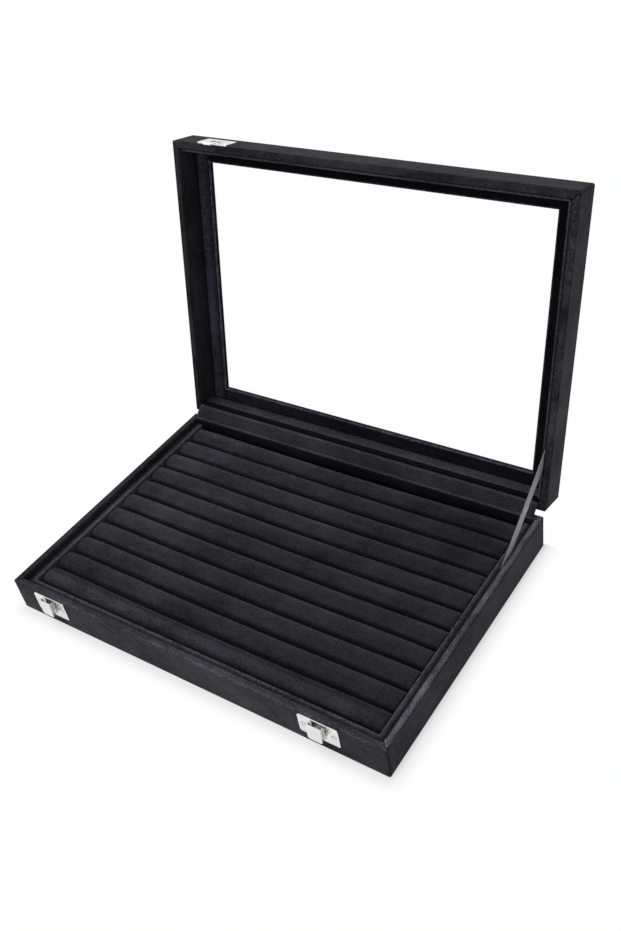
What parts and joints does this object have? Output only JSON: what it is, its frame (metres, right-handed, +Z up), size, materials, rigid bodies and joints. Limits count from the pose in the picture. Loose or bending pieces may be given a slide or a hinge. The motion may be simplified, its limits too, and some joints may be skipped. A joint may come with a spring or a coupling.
{
  "type": "ring display box",
  "caption": "Shallow velvet-covered display box with padded ring rolls, a hinged lid with a glass window, rocker catches at the front and a stay ribbon.",
  "frame": {"origin": "middle of the base's underside", "axes": "+Z up, -Y towards the front with the catches, +X to the right as seen from the front; the lid stands open"},
  "size_m": [0.35, 0.3266, 0.2715],
  "materials": {
    "case_velvet": "short-pile velvet in near-black charcoal, over board",
    "lining_velvet": "the same velvet, in shade inside the case",
    "roll_velvet": "soft velvet over a foam filling",
    "covered_board": "thin board covered in dark paper",
    "nickel": "bright nickel plate on steel",
    "satin_ribbon": "light grey satin",
    "clear_glass": "clear, polished"
  },
  "bodies": {
    "base": {"base_front_wall": "case_velvet", "base_back_wall": "case_velvet", "base_left_wall": "case_velvet", "base_right_wall": "case_velvet", "base_bottom": "covered_board", "tray_floor": "covered_board", "tray_front_side": "case_velvet", "tray_left_side": "case_velvet", "tray_right_side": "case_velvet", "tray_back_lining": "lining_velvet", "roll_01": "roll_velvet", "roll_02": "roll_velvet", "roll_03": "roll_velvet", "roll_04": "roll_velvet", "roll_05": "roll_velvet", "roll_06": "roll_velvet", "roll_07": "roll_velvet", "roll_08": "roll_velvet", "roll_09": "roll_velvet", "roll_10": "roll_velvet", "roll_11": "roll_velvet", "catch_plate_left": "nickel", "catch_plate_right": "nickel", "catch_pins": "nickel", "catch_screws": "nickel", "hinge_leaf_base_left": "nickel", "hinge_leaf_base_right": "nickel", "hinge_pins": "nickel", "hinge_screws_base": "nickel", "stay_ribbon": "satin_ribbon", "hinge_cloth": "case_velvet"},
    "lid": {"lid_front_wall": "case_velvet", "lid_back_wall": "case_velvet", "lid_left_wall": "case_velvet", "lid_right_wall": "case_velvet", "lid_front_liner": "lining_velvet", "lid_back_liner": "lining_velvet", "lid_left_liner": "lining_velvet", "lid_right_liner": "lining_velvet", "lid_top_frame": "case_velvet", "lid_inner_frame": "case_velvet", "glass_pane": "clear_glass", "strike_left": "nickel", "strike_screws": "nickel", "hinge_leaf_lid_left": "nickel", "hinge_leaf_lid_right": "nickel", "hinge_screws_lid": "nickel"},
    "tongue_left": {"catch_tongue_left": "nickel"},
    "tongue_right": {"catch_tongue_right": "nickel"}
  },
  "joints": [
    {"name": "lid_hinge", "type": "hinge", "parent": "base", "child": "lid", "pos_m": [0, 0.1219, 0.0307], "axis": [1, 0, 0], "range_deg": [0, 103], "deforming": ["stay_ribbon", "hinge_cloth"]},
    {"name": "catch_left", "type": "hinge", "parent": "base", "child": "tongue_left", "pos_m": [-0.134, -0.1233, 0.0199], "axis": [-1, 0, 0], "range_deg": [0, 6.5]},
    {"name": "catch_right", "type": "hinge", "parent": "base", "child": "tongue_right", "pos_m": [0.122, -0.1233, 0.0199], "axis": [-1, 0, 0], "range_deg": [0, 6.5]}
  ]
}
